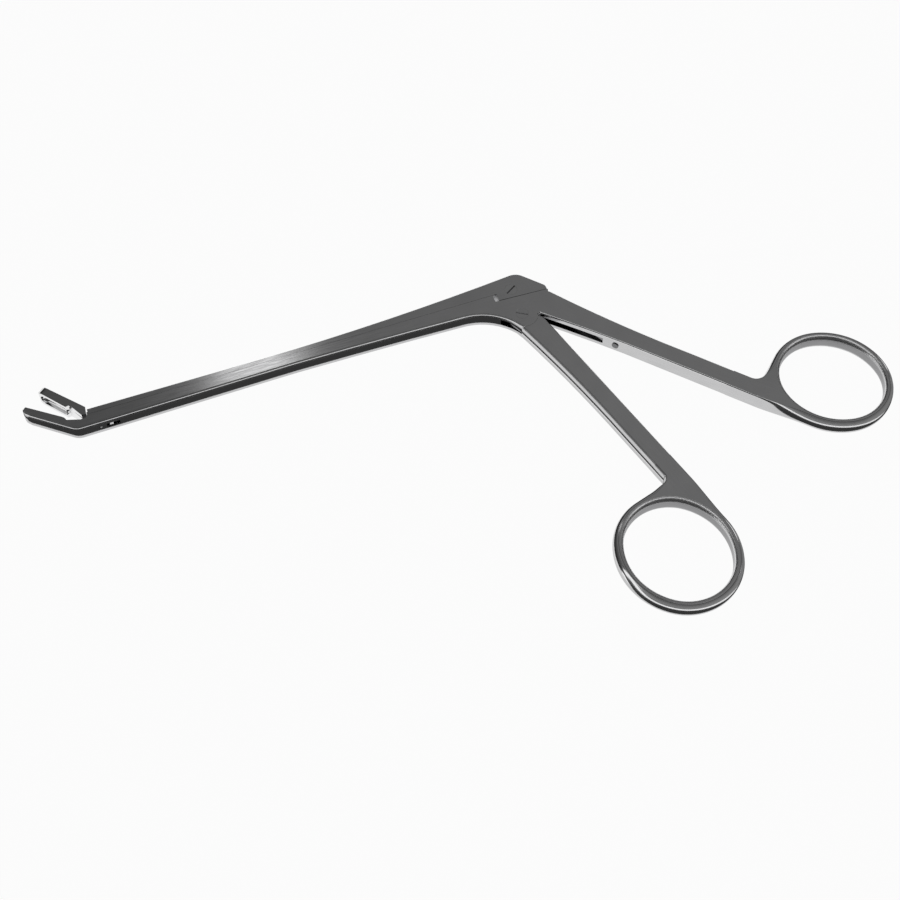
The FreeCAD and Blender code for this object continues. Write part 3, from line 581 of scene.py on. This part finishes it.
def crownWalls(mesh, chosen):
    # marks each face corner with the number "crown": how round the wall is ground there
    corners = np.empty(len(mesh.loops), dtype=np.int64)
    mesh.loops.foreach_get("vertex_index", corners)
    places = np.empty(len(mesh.vertices) * 3)
    mesh.vertices.foreach_get("co", places)
    places = places.reshape(-1, 3)[corners] * 1000
    counts = np.empty(len(mesh.polygons), dtype=np.int64)
    mesh.polygons.foreach_get("loop_total", counts)
    normals = np.empty(len(mesh.polygons) * 3)
    mesh.polygons.foreach_get("normal", normals)
    normals = np.repeat(normals.reshape(-1, 3), counts, axis=0)
    values = chosen(places, normals).astype(np.float32)
    mesh.attributes.new("crown", "FLOAT", "CORNER").data.foreach_set("value", values)


def shaftCrown(places, normals):
    # round along the underside of the shaft and the lower jaw, and flat on the handle's inner wall
    below = (normals[:, 1] < -0.35) | (normals[:, 0] < -0.6)
    return below * smoothStep(4.0, -1.0, places[:, 0])


def handleCrown(places, normals):
    # round along the wall that faces the shaft
    angle = math.radians(rings["frontRing"]["angle"])
    facing = -(normals[:, 0] * math.sin(angle) + normals[:, 1] * math.cos(angle))
    return (facing > 0.6) * 1.0


# hollow of the upper jaw's cup, in millimetres and degrees from the jaw's pivot

cupLook = {
    "pivot": (-111.7, 6.3),
    "angle": 52.6,  # how far the jaw rises from the shaft's line
    "first": 8.45,  # ends of the hollow along the jaw
    "last": 17.15,
    "rim": -1.9,  # height of the hollow's mouth and depth of its bed
    "deep": 1.75,
    "middle": 2.45,
    "half": 1.53,
    "backing": 0.35,  # thickness under the bed
    "innermost": 0.04,
    "steps": 24,
    "turnStep": 7.5,
}


def makeCup(look):
    # bed of the cup: a bowl that closes the jaw's window from behind. Around the stadium of the window the
    # radius shrinks from 1 to 0 while the bed sinks by the root of 1 minus its square; the back is flat
    turns = np.radians(np.arange(0, 360, look["turnStep"]))
    size = np.sin(np.linspace(np.pi / 2, look["innermost"], look["steps"]))
    centre = (look["first"] + look["last"]) / 2
    straight = (look["last"] - look["first"]) / 2 - look["half"]
    ends = np.sign(np.cos(turns)) * straight * (np.abs(np.cos(turns)) > 0.001)
    along = centre + size[:, None] * (ends + look["half"] * np.cos(turns))
    across = look["middle"] + size[:, None] * look["half"] * np.sin(turns)
    sunk = look["rim"] + look["deep"] * np.sqrt(1 - size ** 2)[:, None] * np.ones(len(turns))
    back = np.full(len(turns), look["rim"] + look["deep"] + look["backing"])
    rows = np.stack([along, sunk, across], axis=2)
    behind = np.stack([along[0], back, across[0]], axis=1)
    local = np.concatenate([rows[::-1].reshape(-1, 3), behind])
    columns = len(turns)
    row, column = np.arange(look["steps"])[:, None], np.arange(columns)[None, :]
    here, right = row * columns + column, row * columns + (column + 1) % columns
    faces = np.stack([here, right, right + columns, here + columns], axis=-1).reshape(-1, 4).tolist()
    faces += [list(range(columns)), list(range(look["steps"] * columns, (look["steps"] + 1) * columns))]
    angle = math.radians(look["angle"])
    x = look["pivot"][0] - local[:, 0] * math.cos(angle) + local[:, 1] * math.sin(angle)
    y = look["pivot"][1] + local[:, 0] * math.sin(angle) + local[:, 1] * math.cos(angle)
    mesh = bpy.data.meshes.new("jawCup")
    mesh.from_pydata((np.stack([x, y, local[:, 2]], axis=1) / 1000).tolist(), [], faces)
    turnOutwards(mesh)
    return mesh


shapes = {
    "fixed_shaft": ("fixedShaft", rings["rearRing"]["angle"], shaftCrown),
    "front_handle": ("frontHandle", rings["frontRing"]["angle"], handleCrown),
    "slide": ("slideBar", None, None),
    "upper_jaw": ("openJaw", None, None),
}

for node, (pieceName, cutAngle, crownChoice) in shapes.items():
    merged = mergedMesh(node, cutAngle)
    if crownChoice:
        crownWalls(merged, crownChoice)
    addPiece(pieceName, merged, node)
for ringName, ring in rings.items():
    addPiece(ringName, makeRing(ringName, ring), ring["node"])
addPiece("jawCup", makeCup(cupLook), "upper_jaw")
for node, steel in steels.items():
    if node not in shapes:
        body = frame["nodes"][node]
        body.data.materials.clear()
        body.data.materials.append(steel)
print("steel pieces placed")

# floor, world and lamps

studio = {
    "floorSize": 4.0,
    "floorColour": (0.90, 0.90, 0.905, 1.0),
    "floorDrop": 0.0001,  # metres, so that floor and steel don't share a plane
    "floorWhite": 1.0,  # what the camera and the steel see of the floor, where 1 is white
    "shadowShare": 0.04,
    "farSide": (0.343, 0.939, 0.0),  # level direction away from the camera
    "overhead": 1.25,  # long soft box above, across the view
    "boxNear": (-0.24, -0.17),  # its edges towards the camera and away from it, and its ends
    "boxFar": (0.05, 0.13),
    "boxEnds": (0.55, 0.66),
    "farEdge": (-0.15, 0.25),  # where the far side takes over from the near side
    "farLow": 0.06,  # far side at the horizon
    "farHigh": 0.31,  # far side near the box
    "leftShare": 0.5,  # how much of that is left straight ahead of the jaws
    "nearSide": 0.07,  # behind the camera
    "panelSide": (-0.986, 0.130, 0.105),  # direction of the white panel at the left
    "panelEdge": (0.975, 0.99),
    "panelLight": 1.6,
    "lampPlace": (0.025, 0.573, 0.821),
    "lampTarget": (-0.065, 0.007, 0.005),
    "lampSize": 0.07,
    "lampPower": 0.018,
}


def makeFloor(look):
    half = look["floorSize"] / 2
    mesh = bpy.data.meshes.new("floor")
    corners = [(-half, -half, 0), (half, -half, 0), (half, half, 0), (-half, half, 0)]
    mesh.from_pydata(corners, [], [(0, 1, 2, 3)])
    floor = bpy.data.objects.new("floor", mesh)
    bpy.context.scene.collection.objects.link(floor)
    material = bpy.data.materials.new("paleTable")
    material.use_nodes = True
    tree = material.node_tree
    tree.nodes.clear()
    output = addNode(tree, "ShaderNodeOutputMaterial")
    table = addNode(tree, "ShaderNodeBsdfPrincipled")
    table.inputs["Base Color"].default_value = look["floorColour"]
    table.inputs["Roughness"].default_value = 1.0
    table.inputs["Specular IOR Level"].default_value = 0.0
    glow = addNode(tree, "ShaderNodeEmission")
    glow.inputs["Strength"].default_value = look["floorWhite"]
    path = addNode(tree, "ShaderNodeLightPath")
    seen = doMath(tree, "MAXIMUM", path.outputs["Is Camera Ray"], path.outputs["Is Glossy Ray"])
    seen = doMath(tree, "MAXIMUM", seen, path.outputs["Is Transmission Ray"])
    share = doMath(tree, "MULTIPLY", seen, 1.0 - look["shadowShare"])
    mix = addNode(tree, "ShaderNodeMixShader")
    fill(tree, mix.inputs[0], share)
    tree.links.new(table.outputs[0], mix.inputs[1])
    tree.links.new(glow.outputs[0], mix.inputs[2])
    tree.links.new(mix.outputs[0], output.inputs[0])
    floor.data.materials.append(material)
    floor.location.z = -look["floorDrop"]


def makeWorld(look):
    # dark room with a large soft box straight above, a white panel at the left, dim walls ahead and
    # darkness behind the camera
    world = bpy.data.worlds.new("studio")
    bpy.context.scene.world = world
    world.use_nodes = True
    tree = world.node_tree
    tree.nodes.clear()
    output = addNode(tree, "ShaderNodeOutputWorld")
    background = addNode(tree, "ShaderNodeBackground")
    tree.links.new(background.outputs[0], output.inputs[0])
    coords = addNode(tree, "ShaderNodeTexCoord")
    parts = addNode(tree, "ShaderNodeSeparateXYZ")
    tree.links.new(coords.outputs["Generated"], parts.inputs[0])
    farness = addNode(tree, "ShaderNodeVectorMath", operation="DOT_PRODUCT")
    tree.links.new(coords.outputs["Generated"], farness.inputs[0])
    farness.inputs[1].default_value = look["farSide"]
    up = parts.outputs[2]
    ahead = remap(tree, farness.outputs["Value"], *look["farEdge"], 0.0, 1.0, smooth=True)
    farLight = remap(tree, up, 0.3, 0.9, look["farLow"], look["farHigh"])
    leftFall = remap(tree, parts.outputs[0], 0.0, 0.25, look["leftShare"], 1.0)
    farLight = doMath(tree, "MULTIPLY", farLight, leftFall)
    room = mixNumber(tree, ahead, look["nearSide"], farLight)
    boxNear = remap(tree, farness.outputs["Value"], *look["boxNear"], 0.0, look["overhead"], smooth=True)
    boxFar = remap(tree, farness.outputs["Value"], *look["boxFar"], 1.0, 0.0, smooth=True)
    boxEnds = remap(tree, up, *look["boxEnds"], 0.0, 1.0, smooth=True)
    box = doMath(tree, "MULTIPLY", doMath(tree, "MULTIPLY", boxNear, boxFar), boxEnds)
    light = doMath(tree, "ADD", room, box)
    leftness = addNode(tree, "ShaderNodeVectorMath", operation="DOT_PRODUCT")
    tree.links.new(coords.outputs["Generated"], leftness.inputs[0])
    leftness.inputs[1].default_value = look["panelSide"]
    panel = remap(tree, leftness.outputs["Value"], *look["panelEdge"], 0.0, look["panelLight"], smooth=True)
    light = doMath(tree, "ADD", light, panel)
    below = remap(tree, up, -0.02, 0.0, 1.0, 0.0)
    light = mixNumber(tree, below, light, look["floorWhite"])
    path = addNode(tree, "ShaderNodeLightPath")
    fill(tree, background.inputs["Strength"], mixNumber(tree, path.outputs["Is Camera Ray"], light, 1.0))


def makeLamp(look):
    data = bpy.data.lights.new("patchLamp", "AREA")
    data.shape = "DISK"
    data.size = look["lampSize"]
    data.energy = look["lampPower"]
    lamp = bpy.data.objects.new("patchLamp", data)
    bpy.context.scene.collection.objects.link(lamp)
    lamp.location = look["lampPlace"]
    aim = Vector(look["lampTarget"]) - Vector(look["lampPlace"])
    lamp.rotation_euler = aim.to_track_quat("-Z", "Y").to_euler()


makeFloor(studio)
makeWorld(studio)
makeLamp(studio)
print("stage set")
